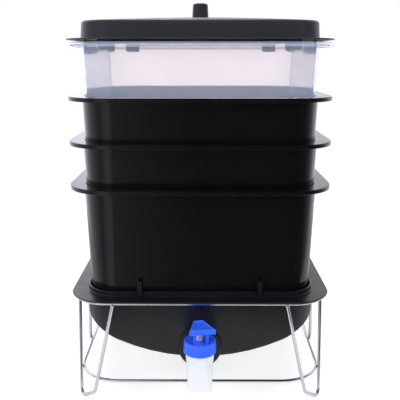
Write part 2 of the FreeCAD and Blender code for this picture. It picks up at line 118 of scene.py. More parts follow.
class TraySizes(PropertyGroup):
    body: length("Body", "Half width under the rim", 170.0, 50.0)
    wall: length("Wall", "Wall thickness", 2.4)
    floor: length("Floor", "Floor thickness", 3.0)
    lip: length("Lip", "Depth of the turned-down rim", 6.0, 1.0)
    hole: length("Drain hole", "Radius of a drain hole", 4.5, 1.0)
    pitch: length("Hole pitch", "Distance between drain holes", 30.0, 5.0)
    rows: IntProperty(name="Rows", description="Drain holes along one side", default=9, min=1)


class LidSizes(PropertyGroup):
    height: length("Height", "Flange to upper edge", 27.0, 5.0)
    crown: length("Crown", "Rise of the pillowed top", 10.0, 0.0)
    edge: length("Edge", "Radius of the upper edge", 5.0, 1.0)
    wall: length("Wall", "Wall thickness", 2.5)
    vent: length("Vent", "Gap over the clear tray's rim", 3.1, 0.0)
    flange: length("Flange", "Flange thickness", 1.9)


class StandSizes(PropertyGroup):
    hoop_wire: length("Hoop wire", "Radius of the hoops' wire", 2.25)
    leg_wire: length("Leg wire", "Radius of the legs' wire", 2.45)
    bead: length("Weld", "Radius of a weld bead", 3.1)


class Finishes(PropertyGroup):
    tray: tone("Trays", "Black of the nesting trays", "08080a")
    base: tone("Bin", "Black of the base bin", "121316")
    lid: tone("Lid", "Charcoal of the lid and its knob", "2a2b30")
    tap: tone("Tap", "Blue of the tap's cap and lever", "3468ff")


def add(tree, kind, settings=None, links=None):
    """Adds a node; settings are its values and properties, links are its inputs' sources."""
    node = tree.nodes.new(kind)
    for key, value in (settings or {}).items():
        if isinstance(key, int) or key in node.inputs:
            node.inputs[key].default_value = value
        else:
            setattr(node, key, value)
    for key, source in (links or {}).items():
        tree.links.new(source, node.inputs[key])
    return node


def place(vec):
    """A point in tower coordinates as a point of the scene."""
    return Vector((vec[0] * MM, (vec[1] + AXIS_Y) * MM, vec[2] * MM))


def linked(name, data):
    """A new object of the scene."""
    obj = bpy.data.objects.new(name, data)
    bpy.context.scene.collection.objects.link(obj)
    return obj


def raw_mesh(name, points, faces):
    mesh = bpy.data.meshes.new(name)
    mesh.from_pydata(points, [], faces)
    mesh.update()
    return mesh


def object_from(name, verts, faces, key):
    """A smooth mesh object in a material, from points in tower coordinates."""
    obj = linked(name, raw_mesh(name, [place(v) for v in verts], faces))
    obj.data.materials.append(MATERIALS[key])
    obj.data.polygons.foreach_set("use_smooth", [True] * len(faces))
    return obj


def square_ring(half, centre, z, steps=16, flats=6):
    """Points round a square whose corners are rounded about centre."""
    corner = max(half - centre, 0.01)
    flat = half - corner
    local = [(half, -flat + 2.0 * flat * k / flats) for k in range(flats)]
    for k in range(steps):
        a = math.radians(90.0 * k / steps)
        local.append((flat + corner * math.cos(a), flat + corner * math.sin(a)))
    points = []
    for side in range(4):
        c, s = math.cos(math.radians(90.0 * side)), math.sin(math.radians(90.0 * side))
        points += [(x * c - y * s, x * s + y * c, z) for x, y in local]
    return points


def skin(rings, caps=False):
    """Quads between rings of equal count, wound for rings that run outside upwards."""
    n = len(rings[0])
    last = (len(rings) - 1) * n
    verts = [point for ring in rings for point in ring]
    faces = []
    for r in range(0, last, n):
        for k in range(n):
            a, b = r + k, r + (k + 1) % n
            faces.append((a, b, b + n, a + n))
    if caps:
        faces.append(tuple(range(n))[::-1])
        faces.append(tuple(range(last, last + n)))
    return verts, faces


def arc(cx, cz, radius, a0, a1, steps):
    """Points (half, z) of an arc in the profile's plane, angles in degrees."""
    out = []
    for k in range(steps + 1):
        a = math.radians(a0 + (a1 - a0) * k / steps)
        out.append((cx + radius * math.cos(a), cz + radius * math.sin(a)))
    return out


def lathe(profile, centre=(0.0, 0.0, 0.0), axis="Z", segments=48, closed=False):
    """Turns a profile of (radius, along) round an axis through centre."""
    verts = []
    faces = []
    n = segments
    for radius, along in profile:
        for k in range(n):
            a = 2.0 * math.pi * k / n
            c, s = radius * math.cos(a), radius * math.sin(a)
            spot = (c, s, along) if axis == "Z" else (c, -along, s)
            verts.append(tuple(m + p for m, p in zip(centre, spot)))
    rows = len(profile)
    for r in range(rows if closed else rows - 1):
        here, there = r * n, (r + 1) % rows * n
        for k in range(n):
            k1 = (k + 1) % n
            faces.append((here + k, here + k1, there + k1, there + k))
    return verts, faces


def joined(parts):
    """Several (verts, faces) as one."""
    verts = []
    faces = []
    for v, f in parts:
        base = len(verts)
        verts.extend(v)
        faces.extend(tuple(i + base for i in face) for face in f)
    return verts, faces


def recalc(obj, crease=None):
    """Merges doubles and turns faces outwards; edges over crease degrees stay sharp."""
    bm = bmesh.new()
    bm.from_mesh(obj.data)
    bmesh.ops.remove_doubles(bm, verts=bm.verts, dist=0.01 * MM)
    bmesh.ops.recalc_face_normals(bm, faces=bm.faces)
    for edge in bm.edges if crease else ():
        if len(edge.link_faces) == 2 and edge.calc_face_angle(0.0) > math.radians(crease):
            edge.smooth = False
    bm.to_mesh(obj.data)
    bm.free()
    return obj


def applied(obj, kind, **settings):
    """Puts a modifier on obj and makes it part of the mesh."""
    mod = obj.modifiers.new(kind.lower(), kind)
    for key, value in settings.items():
        setattr(mod, key, value)
    bpy.context.view_layer.objects.active = obj
    bpy.ops.object.modifier_apply(modifier=mod.name)
    return obj


def even_light(obj):
    """Weights the shading by face area, so flats look flat beside small round edges."""
    return applied(obj, "WEIGHTED_NORMAL", keep_sharp=True, weight=80)


def rounded(obj, width, angle=30.0):
    """Rounds a solid's edges by width in mm where they turn by more than the angle."""
    applied(obj, "BEVEL", width=width * MM, segments=2, limit_method="ANGLE",
            angle_limit=math.radians(angle), harden_normals=False)
    obj.data.polygons.foreach_set("use_smooth", [True] * len(obj.data.polygons))
    return even_light(obj)


def moulded(name, shape, key, crease=None):
    """A closed skin, facing outwards and evenly lit."""
    return even_light(recalc(object_from(name, *shape, key), crease))


def joined_objects(objects, name):
    """Joins mesh objects into one, keeping the first one's materials."""
    bpy.ops.object.select_all(action="DESELECT")
    for obj in objects:
        obj.select_set(True)
    bpy.context.view_layer.objects.active = objects[0]
    bpy.ops.object.join()
    objects[0].name = name
    return objects[0]


def baked(obj, name):
    """The evaluated result of obj's modifiers as a plain mesh object; obj is removed."""
    deps = bpy.context.evaluated_depsgraph_get()
    mesh = bpy.data.meshes.new_from_object(obj.evaluated_get(deps))
    mesh.name = name
    bpy.data.objects.remove(obj)
    return linked(name, mesh)


def new_tree(name, inputs):
    """A Geometry Nodes tree with a geometry input, named inputs and a material input."""
    tree = bpy.data.node_groups.new(name, "GeometryNodeTree")
    tree.interface.new_socket("Geometry", in_out="INPUT", socket_type="NodeSocketGeometry")
    for label, kind, default in inputs:
        item = tree.interface.new_socket(label, in_out="INPUT", socket_type="NodeSocket" + kind)
        item.default_value = default
    tree.interface.new_socket("Material", in_out="INPUT", socket_type="NodeSocketMaterial")
    tree.interface.new_socket("Geometry", in_out="OUTPUT", socket_type="NodeSocketGeometry")
    return tree, add(tree, "NodeGroupInput")


def end_tree(tree, src, geometry):
    """Ends a tree with real geometry in its material."""
    real = add(tree, "GeometryNodeRealizeInstances", {}, {0: geometry})
    paint = add(tree, "GeometryNodeSetMaterial", {}, {"Geometry": real.outputs[0],
                                                      "Material": src.outputs["Material"]})
    add(tree, "NodeGroupOutput", {}, {0: paint.outputs[0]})
    return tree


def with_tree(obj, tree, key, values):
    """Adds the tree to obj and sets its inputs by their sockets' identifiers."""
    mod = obj.modifiers.new(tree.name, "NODES")
    mod.node_group = tree
    values = dict(values, Material=MATERIALS[key])
    for item in tree.interface.items_tree:
        if item.item_type == "SOCKET" and item.in_out == "INPUT" and item.name in values:
            mod[item.identifier] = values[item.name]
    obj.update_tag()
    bpy.context.view_layer.update()
    return obj


def grid_tree():
    """Copies a cell over a square grid, for drained floors."""
    tree, src = new_tree("drain_grid", [("Rows", "Int", 9), ("Pitch", "Float", 0.03),
                                        ("Centre Y", "Float", 0.0), ("Level", "Float", 0.0)])
    rows = src.outputs["Rows"]
    steps = add(tree, "ShaderNodeMath", {"operation": "SUBTRACT", 1: 1.0}, {0: rows})
    span = add(tree, "ShaderNodeMath", {"operation": "MULTIPLY"},
               {0: steps.outputs[0], 1: src.outputs["Pitch"]})
    grid = add(tree, "GeometryNodeMeshGrid", {}, {"Size X": span.outputs[0], "Vertices X": rows,
                                                  "Size Y": span.outputs[0], "Vertices Y": rows})
    move = add(tree, "ShaderNodeCombineXYZ", {}, {"Y": src.outputs["Centre Y"],
                                                  "Z": src.outputs["Level"]})
    shift = add(tree, "GeometryNodeTransform", {}, {"Geometry": grid.outputs["Mesh"],
                                                    "Translation": move.outputs[0]})
    spread = add(tree, "GeometryNodeInstanceOnPoints", {}, {"Points": shift.outputs[0],
                                                            "Instance": src.outputs["Geometry"]})
    real = add(tree, "GeometryNodeRealizeInstances", {}, {"Geometry": spread.outputs[0]})
    weld = add(tree, "GeometryNodeMergeByDistance", {"Distance": 0.02 * MM},
               {"Geometry": real.outputs[0]})
    return end_tree(tree, src, weld.outputs[0])


def turn_tree():
    """Repeats a piece four times round the tower's axis, for ribs, skirts and pads."""
    tree, src = new_tree("four_sides", [("Copies", "Int", 4), ("Centre Y", "Float", 0.0)])
    move = add(tree, "ShaderNodeCombineXYZ", {}, {"Y": src.outputs["Centre Y"]})
    points = add(tree, "GeometryNodeMeshLine", {"mode": "OFFSET", "Offset": (0.0, 0.0, 0.0)},
                 {"Count": src.outputs["Copies"], "Start Location": move.outputs[0]})
    index = add(tree, "GeometryNodeInputIndex")
    share = add(tree, "ShaderNodeMath", {"operation": "DIVIDE", 0: 2.0 * math.pi},
                {1: src.outputs["Copies"]})
    angle = add(tree, "ShaderNodeMath", {"operation": "MULTIPLY"},
                {0: index.outputs[0], 1: share.outputs[0]})
    euler = add(tree, "ShaderNodeCombineXYZ", {}, {"Z": angle.outputs[0]})
    spread = add(tree, "GeometryNodeInstanceOnPoints", {}, {
        "Points": points.outputs[0], "Instance": src.outputs["Geometry"],
        "Rotation": euler.outputs[0]})
    return end_tree(tree, src, spread.outputs[0])


def wire_tree():
    """Round wire along a curve of straight runs; each point's radius is its bend."""
    tree, src = new_tree("bent_wire", [("Wire radius", "Float", 0.0025)])
    bend = add(tree, "GeometryNodeInputRadius")
    fillet = add(tree, "GeometryNodeFilletCurve", {"mode": "POLY", "Count": 12,
                                                   "Limit Radius": False},
                 {"Curve": src.outputs["Geometry"], "Radius": bend.outputs[0]})
    plain = add(tree, "GeometryNodeSetCurveRadius", {"Radius": 1.0}, {"Curve": fillet.outputs[0]})
    profile = add(tree, "GeometryNodeCurvePrimitiveCircle", {"Resolution": 20},
                  {"Radius": src.outputs["Wire radius"]})
    rod = add(tree, "GeometryNodeCurveToMesh", {"Fill Caps": True},
              {"Curve": plain.outputs[0], "Profile Curve": profile.outputs[0]})
    return end_tree(tree, src, rod.outputs[0])


def bead_tree():
    """A slightly flat ball of weld metal on each point."""
    tree, src = new_tree("weld_beads", [("Bead radius", "Float", 0.003)])
    ball = add(tree, "GeometryNodeMeshIcoSphere", {"Subdivisions": 3},
               {"Radius": src.outputs["Bead radius"]})
    smooth = add(tree, "GeometryNodeSetShadeSmooth", {}, {"Geometry": ball.outputs[0]})
    spread = add(tree, "GeometryNodeInstanceOnPoints", {"Scale": (1.0, 1.0, 0.8)},
                 {"Points": src.outputs["Geometry"], "Instance": smooth.outputs[0]})
    return end_tree(tree, src, spread.outputs[0])


def new_material(name):
    """An empty material, its tree and the source of Object coordinates."""
    mat = bpy.data.materials.new(name)
    mat.use_nodes = True
    mat.node_tree.nodes.clear()
    coords = add(mat.node_tree, "ShaderNodeTexCoord")
    return mat, mat.node_tree, coords.outputs["Object"]


def orange_peel(tree, coords, scale, strength, depth):
    """Fine unevenness of a surface, as a bump depth mm deep."""
    grain = add(tree, "ShaderNodeTexNoise", {"Scale": scale, "Detail": 4.0, "Roughness": 0.6},
                {"Vector": coords})
    return add(tree, "ShaderNodeBump", {"Strength": strength, "Distance": depth * MM},
               {"Height": grain.outputs[0]}).outputs[0]


def plastic(name, dark, pale_hex, rough_low, rough_high, peel_scale, peel, ior=1.49, sss=0.0,
            transmission=0.0, specular=0.5, bloom=0.0):
    """Moulded polypropylene: colour drifts a little, gloss varies with flow and handling."""
    mat, tree, coords = new_material(name)
    dark = linear(dark) if isinstance(dark, str) else (*dark, 1.0)
    drift = add(tree, "ShaderNodeTexNoise", {"Scale": 9.0, "Detail": 3.0}, {"Vector": coords})
    colour = add(tree, "ShaderNodeMix", {"data_type": "RGBA", 6: dark, 7: linear(pale_hex)},
                 {0: drift.outputs[0]})
    smear = add(tree, "ShaderNodeTexNoise", {"Scale": 38.0, "Detail": 5.0, "Roughness": 0.62},
                {"Vector": coords})
    gloss = add(tree, "ShaderNodeMapRange", {"From Min": 0.3, "From Max": 0.7,
                                             "To Min": rough_low, "To Max": rough_high},
                {"Value": smear.outputs[0]})
    skin_shader = add(tree, "ShaderNodeBsdfPrincipled", {
        "IOR": ior, "Subsurface Weight": sss, "Subsurface Scale": 4.0 * MM,
        "Transmission Weight": transmission, "Specular IOR Level": specular, "Sheen Weight": bloom,
        "Sheen Roughness": 1.0, "Sheen Tint": linear("78c0ff")},
        {"Base Color": colour.outputs[2], "Roughness": gloss.outputs[0],
         "Normal": orange_peel(tree, coords, peel_scale, peel, 0.04)})
    add(tree, "ShaderNodeOutputMaterial", {}, {"Surface": skin_shader.outputs[0]})
    return mat


def metal(name, hex_code, rough_low, rough_high, haze_scale, lines=0.0):
    """Plated metal: one colour, a gloss that varies, and draw lines as strong as lines says."""
    mat, tree, coords = new_material(name)
    haze = add(tree, "ShaderNodeTexNoise", {"Scale": haze_scale, "Detail": 4.0},
               {"Vector": coords})
    rough = add(tree, "ShaderNodeMapRange", {"To Min": rough_low, "To Max": rough_high},
                {"Value": haze.outputs[0]})
    links = {"Roughness": rough.outputs[0]}
    if lines:
        links["Normal"] = orange_peel(tree, coords, 500.0, lines, 0.03)
    plate = add(tree, "ShaderNodeBsdfPrincipled", {"Metallic": 1.0, "Base Color": linear(hex_code)},
                links)
    add(tree, "ShaderNodeOutputMaterial", {}, {"Surface": plate.outputs[0]})
    return mat


def make_materials(tones):
    MATERIALS.update({
        # Polypropylene from a polished mould: nearly black, mirror-like at a low angle
        "tray": plastic("polished_black_polypropylene", tones.tray, "0c0c0e", 0.10, 0.20, 900.0,
                        0.12),
        # The same resin from a duller mould: broader, greyer highlights
        "bin": plastic("satin_black_polypropylene", tones.base, "17181b", 0.24, 0.36, 1100.0, 0.2,
                       specular=0.4),
        # Spark-eroded mould face: charcoal, no clear reflections
        "lid": plastic("textured_charcoal_polypropylene", tones.lid, "303136", 0.28, 0.4, 1500.0,
                       0.4, specular=0.25),
        # Thin unfilled polypropylene: light goes nearly straight through, and what is dark
        # behind it gets a bluish bloom. A lower index than the resin's keeps the walls clear
        "clear": plastic("clear_polypropylene", "f6ebe8", "faf0ed", 0.05, 0.08, 700.0, 0.01,
                         ior=1.02, transmission=0.85, bloom=0.30),
        # The same resin, thick: white, with light scattered inside
        "milky": plastic("natural_polypropylene", "eff0f6", "f7f8fc", 0.25, 0.35, 900.0, 0.1,
                         sss=0.3),
        # Pigmented and moulded smooth: a soft highlight
        "blue": plastic("blue_polypropylene", tones.tap, "3b6eff", 0.22, 0.32, 1000.0, 0.12),
        # Moulded rubber: dull black
        "rubber": plastic("black_rubber", "0e0e0e", "161616", 0.6, 0.75, 1600.0, 0.4, ior=1.52),
        # Bright nickel-chrome on drawn wire: mirror with faint draw lines
        "chrome": metal("chrome_plated_wire", "dcdde0", 0.05, 0.16, 60.0, lines=0.05),
        # Zinc on steel: grey, with a blurred reflection
        "steel": metal("zinc_plated_steel", "b4b6ba", 0.25, 0.42, 300.0)})


PIECES_IN = {
    "lid": ("lid", "lid_knob"), "clear": ("clear_tray",), "bin": ("base_bin",),
    "tray": ("upper_tray", "middle_tray", "lower_tray"), "steel": ("knob_screw", "lever_pin"),
    "milky": ("tap_body", "valve_stem", "back_nut"), "blue": ("tap_cap", "tap_lever"),
    "rubber": ("valve_seal", "inner_washer", "outer_washer"),
    "chrome": ("upper_ring", "lower_ring", "leg_front_left", "leg_front_right", "leg_back_left",
               "leg_back_right", "hairpin_left", "hairpin_right")}
FINISH_OF = {node: key for key, nodes in PIECES_IN.items() for node in nodes}


def finish_piece(obj, node):
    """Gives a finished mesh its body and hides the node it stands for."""
    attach(obj, BODY_OF[node])
    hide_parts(node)
    return obj


class WORMERY_OT_finishes(Operator):
    """Makes the plastics and metals and dresses the fixed pieces"""
    bl_idname = "wormery.finishes"
    bl_label = "Finishes"

    def execute(self, context):
        make_materials(context.scene.wormery_finishes)
        for name, obj in NODES.items():
            obj.data.materials.clear()
            obj.data.materials.append(MATERIALS[FINISH_OF[name]])
        return {"FINISHED"}


def turned_four(shape, name, key, tree):
    """A piece made for the front side, repeated on all four sides by the tree."""
    verts, faces = shape
    obj = linked(name, raw_mesh(name, [Vector(v) * MM for v in verts], faces))
    with_tree(obj, tree, key, {"Copies": 4, "Centre Y": AXIS_Y * MM})
    return baked(obj, name)


BLOCK_FACES = [(0, 3, 2, 1), (4, 5, 6, 7), (0, 1, 5, 4), (1, 2, 6, 5), (2, 3, 7, 6), (3, 0, 4, 7)]


def block(x0, x1, y0, y1, z0, z1):
    """A plain block as (verts, faces), to be rounded or joined."""
    verts = [(x, y, z) for z in (z0, z1) for x, y in ((x0, y0), (x1, y0), (x1, y1), (x0, y1))]
    return verts, BLOCK_FACES


def drain_cell(pitch, hole, floor, segments=16):
    """One square of drained floor with its round hole, centred on the origin."""
    half = pitch / 2.0
    verts = []
    for level in (0.0, floor):
        for k in range(segments):
            a = 2.0 * math.pi * (k + 0.5) / segments
            c, s = math.cos(a), math.sin(a)
            reach = half / max(abs(c), abs(s))
            verts.append((reach * c, reach * s, level))
            verts.append((hole * c, hole * s, level))
    # the outer point nearest to each corner goes into it
    for base, z in ((0, 0.0), (2 * segments, floor)):
        for corner in ((half, half), (-half, half), (-half, -half), (half, -half)):
            near = min(range(base, base + 2 * segments, 2),
                       key=lambda i: math.dist(verts[i][:2], corner))
            verts[near] = (*corner, z)
    faces = []
    up = 2 * segments
    for k in range(segments):
        o0, o1 = 2 * k, 2 * ((k + 1) % segments)
        i0, i1 = o0 + 1, o1 + 1
        faces += [(o0, i0, i1, o1), (up + o0, up + o1, up + i1, up + i0),
                  (i0, up + i0, up + i1, i1)]
    return verts, faces


def tray_profile(body, wall, floor, flange, flange_thick, lip, bottom, top, field):
    """Section of a nesting tray from its inner floor, over the rim, to its outer floor."""
    def inner(z):
        return body - wall - DRAFT * (top - z)

    def outer(z):
        return body - DRAFT * (top - z)

    fillet, edge, inside, neck, foot = 3.0, 1.2, 0.9, 2.2, 5.0
    small = LIP_WALL * 0.35
    under = top - flange_thick
    floor_top, lip_end = bottom + floor, top - lip
    path = arc(inner(floor_top + fillet) - fillet, floor_top + fillet, fillet, -90, 0, 4)
    for share in (0.33, 0.66):
        z = floor_top + fillet + share * (top - floor_top - fillet)
        path.append((inner(z), z))
    path += arc(inner(top) + edge, top - edge, edge, 180, 90, 4)
    path += arc(flange - edge, top - edge, edge, 90, 0, 5)
    path += arc(flange - small, lip_end + small, small, 0, -90, 3)
    path += arc(flange - LIP_WALL + small, lip_end + small, small, -90, -180, 3)
    path += arc(flange - LIP_WALL - inside, under - inside, inside, 0, 90, 3)
    path += arc(outer(under) + neck, under - neck, neck, 90, 180, 4)
    for share in (0.66, 0.33):
        z = bottom + foot + share * (under - neck - bottom - foot)
        path.append((outer(z), z))
    path += arc(outer(bottom + foot) - foot, bottom + foot, foot, 0, -90, 5)
    ends = [(field, field - 0.05, z) for z in (floor_top, bottom)]
    return ends[:1] + [(h, CORNER_CENTRE, z) for h, z in path] + ends[1:]


def rib_pair(inner_top, top, from_z, to_z):
    """Two upright ribs on the front wall, with their outer edge buried in the wall."""
    parts = []
    buried = 0.8
    deep = DRAFT * (top - from_z)
    tip = -(inner_top - deep - RIB_REACH)
    low = -(inner_top - deep + buried)
    high = -(inner_top - DRAFT * (top - to_z) + buried)
    for x in (-RIB_OFFSET, RIB_OFFSET):
        x0, x1 = x - RIB_THICK / 2.0, x + RIB_THICK / 2.0
        verts = []
        for back, z in ((low, from_z), (high, to_z)):
            verts += [(x0, back, z), (x1, back, z), (x1, tip, z), (x0, tip, z)]
        parts.append((verts, BLOCK_FACES))
    return joined(parts)


def make_tray(node, sizes, trees, body, wall, flange, flange_thick, lip, ribs_to=None):
    """Walls and rim from one section, a drained floor and, up to ribs_to, the stop ribs."""
    key = FINISH_OF[node]
    low, high = node_box(node)
    bottom, top = low.z, high.z
    path = tray_profile(body, wall, sizes.floor, flange, flange_thick, lip, bottom, top,
                        sizes.pitch * sizes.rows / 2.0)
    shell = object_from(node + "_shell", *skin([square_ring(*ring) for ring in path]), key)
    even_light(shell)
    verts, faces = drain_cell(sizes.pitch, sizes.hole, sizes.floor)
    cell = linked("cell", raw_mesh("cell", [Vector(v) * MM for v in verts], faces))
    with_tree(cell, trees["drain_grid"], key, {
        "Rows": sizes.rows, "Pitch": sizes.pitch * MM, "Centre Y": AXIS_Y * MM,
        "Level": bottom * MM})
    parts = [shell, baked(cell, node + "_floor")]
    if ribs_to:
        ribs = rib_pair(body - wall, top, bottom + 1.5, ribs_to)
        parts.append(turned_four(ribs, node + "_ribs", key, trees["four_sides"]))
    return finish_piece(joined_objects(parts, node + "_moulding"), node)


class WORMERY_OT_trays(Operator):
    """The three black nesting trays with drained floors and stop ribs"""
    bl_idname = "wormery.trays"
    bl_label = "Black trays"

    def execute(self, context):
        sizes = context.scene.wormery_trays
        trees = {"drain_grid": grid_tree(), "four_sides": turn_tree()}
        flange, flange_thick = 190.0, 2.5
        for node, carried in (("lower_tray", "middle_tray"), ("middle_tray", "upper_tray"),
                              ("upper_tray", "clear_tray")):
            make_tray(node, sizes, trees, sizes.body, sizes.wall, flange, flange_thick, sizes.lip,
                      ribs_to=node_box(carried)[0].z - REST_GAP)
        return {"FINISHED"}


class WORMERY_OT_clear_tray(Operator):
    """The deeper clear tray at the top"""
    bl_idname = "wormery.clear_tray"
    bl_label = "Clear tray"

    def execute(self, context):
        flange, flange_thick, lip = 189.0, 2.6, 6.7
        make_tray("clear_tray", context.scene.wormery_trays, bpy.data.node_groups, CLEAR_BODY,
                  CLEAR_WALL, flange, flange_thick, lip)
        return {"FINISHED"}


LID_HALF = 170.0


def lid_path(sizes, inset, bottom, edge_z):
    """Half section of the lid's outer or inner face, from the flange up to the top's middle."""
    c = CORNER_CENTRE
    half = LID_HALF - inset
    shoulder = edge_z - sizes.edge
    rise = shoulder - bottom
    top_half = half - 0.05 * rise
    bend = sizes.edge - inset * 0.5
    path = [(half, c, bottom), (half - 0.025 * rise, c, (bottom + shoulder) / 2.0)]
    for angle in (0, 14, 28, 42, 56, 70):
        a = math.radians(angle)
        path.append((top_half - bend * (1.0 - math.cos(a)), c,
                     shoulder + (sizes.edge - inset) * math.sin(a)))
    rim = top_half - bend
    # square at the edge, rounder towards the knob
    for share in (0.95, 0.9, 0.85, 0.79, 0.72, 0.64, 0.56, 0.47, 0.38, 0.3, 0.22):
        corner = min(0.98, 1.0 - c / rim * (1.0 - min(1.0, 2.0 * (1.0 - share))))
        path.append((rim * share, rim * share * (1.0 - corner),
                     edge_z - inset + sizes.crown * (1.0 - share * share)))
    seat = 16.0 - inset
    for reach in (seat, seat * 0.3):
        path.append((reach, reach * 0.02, edge_z + sizes.crown - inset))
    return path


SKIRT_HALF = 140.0


def skirt_side(face, thick, bottom, top, teeth=()):
    """Skirt of one side of the lid; teeth are (near, far, depth) and it follows the corners."""
    def edge_y(x, reach):
        over = max(abs(x) - CORNER_CENTRE, 0.0)
        r = reach - CORNER_CENTRE
        return -(CORNER_CENTRE + math.sqrt(max(r * r - over * over, 0.0)))

    ends = sorted({SKIRT_HALF, 0.0, 60.0}.union(x for tooth in teeth for x in tooth[:2]))
    cuts = [ends[0]]
    for near, far in zip(ends[:-1], ends[1:]):
        steps = 4 if far > CORNER_CENTRE else 1
        cuts += [near + (far - near) * (k + 1) / steps for k in range(steps)]
    cuts = [-x for x in cuts[:0:-1]] + cuts
    parts = []
    for a, b in zip(cuts[:-1], cuts[1:]):
        mid = abs(a + b) / 2.0
        low = bottom - sum(depth for near, far, depth in teeth if near < mid < far)
        verts = []
        for z in (low, top):
            verts += [(a, edge_y(a, face), z), (b, edge_y(b, face), z),
                      (b, edge_y(b, face - thick), z), (a, edge_y(a, face - thick), z)]
        parts.append((verts, BLOCK_FACES))
    return joined(parts)


class WORMERY_OT_lid(Operator):
    """Lid with flange, pillowed top, inner skirts, teeth and vent pads, and its knob"""
    bl_idname = "wormery.lid"
    bl_label = "Lid and knob"

    def execute(self, context):
        sizes = context.scene.wormery_lid
        rim_top = node_box("clear_tray")[1].z
        knob_low, knob_high = node_box("lid_knob")
        bottom = rim_top + sizes.vent
        edge_z = bottom + sizes.height
        flange = node_box("lid")[1].x
        flange_top = bottom + sizes.flange
        outer = lid_path(sizes, 0.0, bottom, edge_z)
        inner = lid_path(sizes, sizes.wall, bottom, edge_z)
        # from the middle of the underside out to the flange and back over the top
        r, neck = 0.7, 2.0
        turn = arc(flange - r, bottom + r, r, -90, 0, 3)
        turn += arc(flange - r, flange_top - r, r, 0, 90, 3)
        turn += [(h - 0.02, z) for h, z in
                 arc(LID_HALF + neck, flange_top + neck, neck, -90, -180, 4)]
        path = inner[::-1] + [(h, CORNER_CENTRE, z) for h, z in turn] + outer[1:]
        shell = moulded("lid_shell", skin([square_ring(*ring) for ring in path], caps=True), "lid")

        skirt_face = CLEAR_BODY - CLEAR_WALL - 1.0
        teeth = [(116.0, 140.0, 10.6)]
        pad_inner, pad_outer, pad_half = 177.0, 185.0, 12.0
        hung = (
            ("lid_skirts", skirt_side(skirt_face, sizes.wall, rim_top - 0.8, bottom + 7.0, teeth)),
            ("lid_bridges", skirt_side(169.0, 5.0, bottom + 0.4, bottom + 6.5)),
            ("lid_pads", block(-pad_half, pad_half, -pad_outer, -pad_inner, rim_top + REST_GAP,
                               bottom + 0.5)))
        parts = [turned_four(shape, name, "lid", bpy.data.node_groups["four_sides"])
                 for name, shape in hung]
        finish_piece(joined_objects([shell] + parts, "lid_moulding"), "lid")

        base_r, top_r, dome, round_r = 13.25, 11.65, 1.6, 1.8
        height = knob_high.z - knob_low.z
        shoulder = height - dome - round_r
        profile = [(0.0, 0.0), (base_r, 0.0), (base_r, 0.6), (top_r + 0.35, shoulder)]
        profile += arc(top_r + 0.3 - round_r, shoulder, round_r, 0, 90, 6)[1:-1]
        profile += [(top_r * s, height - dome * s * s) for s in (0.8, 0.6, 0.4, 0.2, 0.0)]
        shape = lathe(profile, (0.0, 0.0, knob_low.z), segments=56)
        finish_piece(moulded("knob_moulding", shape, "lid", crease=50.0), "lid_knob")
        return {"FINISHED"}


TROUGH_LOW, TROUGH_RISE = 69.6, 56.0
TROUGH_SLOPE = math.tan(math.radians(1.0))
TROUGH_BEND = 7.0


def trough(x, y, inset):
    """Level of the bin's round bottom, which falls towards the tap."""
    roll = (BIN_BODY ** 2 + TROUGH_RISE ** 2) / (2.0 * TROUGH_RISE)
    drop = math.sqrt(max((roll - inset) ** 2 - x * x, 0.0))
    return TROUGH_LOW + roll + TROUGH_SLOPE * (y + BIN_BODY) - drop


def bin_ring(half, centre, z):
    return square_ring(half, centre, z, flats=10)


def wall_ring(inset, levels):
    """Ring on the bin's wall where each point has its own level."""
    return [bin_ring(BIN_BODY - inset - DRAFT * (BIN_TOP - z), CORNER_CENTRE, z)[k]
            for k, z in enumerate(levels)]


def bin_face(inset):
    """Rings from the trough's middle outwards and up the bin's outer or inner wall."""
    levels = [100.0] * len(bin_ring(BIN_BODY, CORNER_CENTRE, 0.0))
    for _ in range(4):
        levels = [trough(x, y, inset) for x, y, _ in wall_ring(inset, levels)]
    edge = wall_ring(inset, levels)
    bend = TROUGH_BEND - inset
    rings = []
    for share in (0.03, 0.15, 0.3, 0.45, 0.6, 0.75, 0.88):
        rings.append([(x * share, y * share, trough(x * share, y * share, inset))
                      for x, y, _ in edge])
    above = wall_ring(inset, [z + bend for z in levels])
    for t in (0.0, 0.2, 0.4, 0.6, 0.8, 1.0):
        ring = []
        for p, q in zip(edge, above):
            s = 1.0 - bend / max(abs(p[0]), abs(p[1]))
            a = (p[0] * s, p[1] * s, trough(p[0] * s, p[1] * s, inset))
            w0, w1, w2 = (1 - t) ** 2, 2 * t * (1 - t), t * t
            ring.append(tuple(w0 * a[i] + w1 * p[i] + w2 * q[i] for i in range(3)))
        rings.append(ring)
    goal = BIN_TOP - 4.6
    for share in (0.35, 0.7, 1.0):
        rings.append(wall_ring(inset, [z + bend + share * (goal - z - bend) for z in levels]))
    return rings


def bin_rim():
    """Rings over the bin's flange and its collar round the lower tray."""
    flange, flange_centre, thick = 189.5, 134.5, 2.0
    under, collar_top = BIN_TOP - thick, BIN_TOP + 7.0
    neck, r, root, lip = 2.0, 0.8, 1.2, 1.0
    rim = [bin_ring(h, CORNER_CENTRE + (h - BIN_BODY) * 0.6, z)
           for h, z in arc(BIN_BODY + neck, under - neck, neck, 180, 90, 4)]
    edge = arc(flange - r, under + r, r, -90, 0, 3) + arc(flange - r, BIN_TOP - r, r, 0, 90, 3)
    rim += [bin_ring(h, flange_centre, z) for h, z in edge]
    collar = arc(COLLAR_OUT + root, BIN_TOP + root, root, -90, -180, 3)
    collar += arc(COLLAR_OUT - lip, collar_top - lip, lip, 0, 90, 3)
    collar += arc(COLLAR_IN + lip, collar_top - lip, lip, 90, 180, 3)
    collar += [(COLLAR_IN, under - 1.0), (BIN_BODY - BIN_WALL - 0.2, under - 1.2)]
    return rim + [bin_ring(h, CORNER_CENTRE, z) for h, z in collar]


